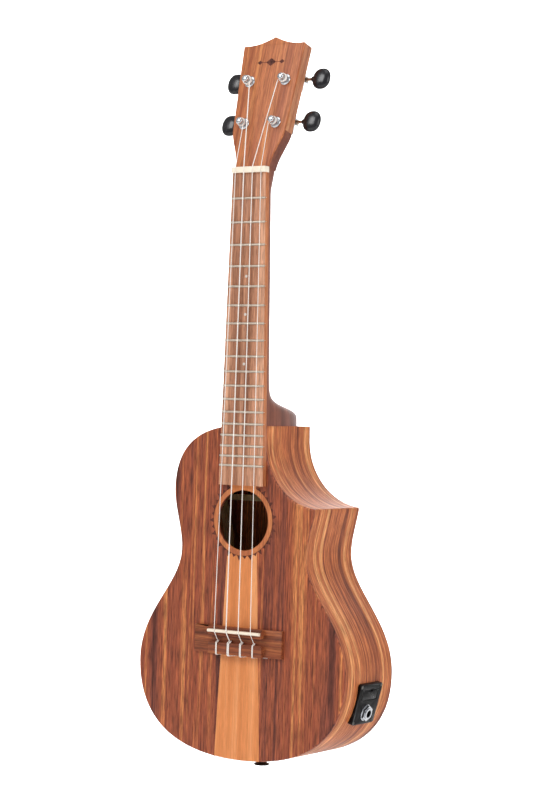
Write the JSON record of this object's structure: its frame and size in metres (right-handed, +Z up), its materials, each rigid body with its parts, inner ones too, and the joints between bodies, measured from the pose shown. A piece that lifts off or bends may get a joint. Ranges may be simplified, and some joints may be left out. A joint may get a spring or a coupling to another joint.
{
  "type": "ukulele",
  "caption": "Electro-acoustic concert ukulele: pointed cutaway, pale centre wedge in a striped wood top, geared tuners, tie bridge, side jack plate with battery tray.",
  "frame": {"origin": "on the centre line at the soundboard plane, 7 mm above the root of the head, where a hanger's yoke takes the neck", "axes": "+Z up the neck to the head, -Y out of the soundboard, +Y out of the back, +X towards the cutaway and the jack plate"},
  "size_m": [0.2119, 0.0904, 0.617],
  "materials": {
    "top_teak": "satin oiled striped teak",
    "wedge_wood": "satin pale wood",
    "back_teak": "satin oiled striped teak",
    "rib_teak": "satin oiled striped teak",
    "spruce": "raw",
    "neck_wood": "satin",
    "dowel_wood": "raw",
    "head_face": "satin",
    "fretboard_wood": "oiled matt",
    "fret_metal": "polished nickel silver",
    "dot_inlay": "pearl",
    "bone": "polished ivory plastic",
    "bridge_wood": "oiled matt",
    "pickup_foil": "foil",
    "nylon": "clear fluorocarbon",
    "tuner_chrome": "polished",
    "gear_brass": "satin",
    "button_black": "gloss",
    "screw_steel": "nickel plated",
    "strap_black": "satin",
    "plate_black": "satin moulded",
    "cell_steel": "brushed",
    "board_green": "lacquered laminate",
    "jack_chrome": "polished"
  },
  "bodies": {
    "instrument": {"top_bass": "top_teak", "top_wedge": "wedge_wood", "top_treble": "top_teak", "back": "back_teak", "rib_bass": "rib_teak", "rib_cutaway": "rib_teak", "rib_treble": "rib_teak", "neck_block": "spruce", "tail_block": "spruce", "horn_block": "spruce", "linings": "spruce", "top_braces": "spruce", "back_braces": "spruce", "bridge_plate": "spruce", "neck": "neck_wood", "neck_dowels": "dowel_wood", "head_veneer": "head_face", "fretboard": "fretboard_wood", "frets": "fret_metal", "position_dots": "dot_inlay", "nut": "bone", "bridge": "bridge_wood", "saddle": "bone", "pickup_strip": "pickup_foil", "string_1": "nylon", "string_2": "nylon", "string_3": "nylon", "string_4": "nylon", "tuner_bushings": "tuner_chrome", "tuner_plates": "tuner_chrome", "tuner_screws": "screw_steel", "strap_button": "strap_black", "strap_screw": "screw_steel", "jack_plate": "plate_black", "plate_screws": "screw_steel", "preamp_board": "board_green", "jack_socket": "jack_chrome", "jack_nut": "jack_chrome"},
    "key_1": {"worm_shaft_1": "tuner_chrome", "button_1": "button_black"},
    "peg_1": {"post_1": "tuner_chrome", "gear_1": "gear_brass", "winding_1": "nylon"},
    "key_2": {"worm_shaft_2": "tuner_chrome", "button_2": "button_black"},
    "peg_2": {"post_2": "tuner_chrome", "gear_2": "gear_brass", "winding_2": "nylon"},
    "key_3": {"worm_shaft_3": "tuner_chrome", "button_3": "button_black"},
    "peg_3": {"post_3": "tuner_chrome", "gear_3": "gear_brass", "winding_3": "nylon"},
    "key_4": {"worm_shaft_4": "tuner_chrome", "button_4": "button_black"},
    "peg_4": {"post_4": "tuner_chrome", "gear_4": "gear_brass", "winding_4": "nylon"},
    "tray": {"battery_tray": "plate_black", "coin_cells": "cell_steel"}
  },
  "joints": [
    {"name": "key_turn_1", "type": "hinge", "parent": "instrument", "child": "key_1", "pos_m": [-0.016, 0.02514, 0.03233], "axis": [-1, 0, 0], "continuous": true},
    {"name": "peg_turn_1", "type": "hinge", "parent": "instrument", "child": "peg_1", "pos_m": [-0.016, 0.01004, 0.03048], "axis": [0, -0.9659, 0.2588], "continuous": true},
    {"name": "key_turn_2", "type": "hinge", "parent": "instrument", "child": "key_2", "pos_m": [-0.018, 0.03502, 0.06923], "axis": [-1, 0, 0], "continuous": true},
    {"name": "peg_turn_2", "type": "hinge", "parent": "instrument", "child": "peg_2", "pos_m": [-0.018, 0.01993, 0.06738], "axis": [0, -0.9659, 0.2588], "continuous": true},
    {"name": "key_turn_3", "type": "hinge", "parent": "instrument", "child": "key_3", "pos_m": [0.018, 0.03502, 0.06923], "axis": [1, 0, 0], "continuous": true},
    {"name": "peg_turn_3", "type": "hinge", "parent": "instrument", "child": "peg_3", "pos_m": [0.018, 0.01993, 0.06738], "axis": [0, -0.9659, 0.2588], "continuous": true},
    {"name": "key_turn_4", "type": "hinge", "parent": "instrument", "child": "key_4", "pos_m": [0.016, 0.02514, 0.03233], "axis": [1, 0, 0], "continuous": true},
    {"name": "peg_turn_4", "type": "hinge", "parent": "instrument", "child": "peg_4", "pos_m": [0.016, 0.01004, 0.03048], "axis": [0, -0.9659, 0.2588], "continuous": true},
    {"name": "tray_slide", "type": "slide", "parent": "instrument", "child": "tray", "axis": [0.9667, 0, -0.2558], "range_m": [0, 0.023]}
  ],
  "couplings": [
    {"joint": "peg_turn_1", "follows": "key_turn_1", "ratio": -0.071429},
    {"joint": "peg_turn_2", "follows": "key_turn_2", "ratio": -0.071429},
    {"joint": "peg_turn_3", "follows": "key_turn_3", "ratio": 0.071429},
    {"joint": "peg_turn_4", "follows": "key_turn_4", "ratio": 0.071429}
  ]
}
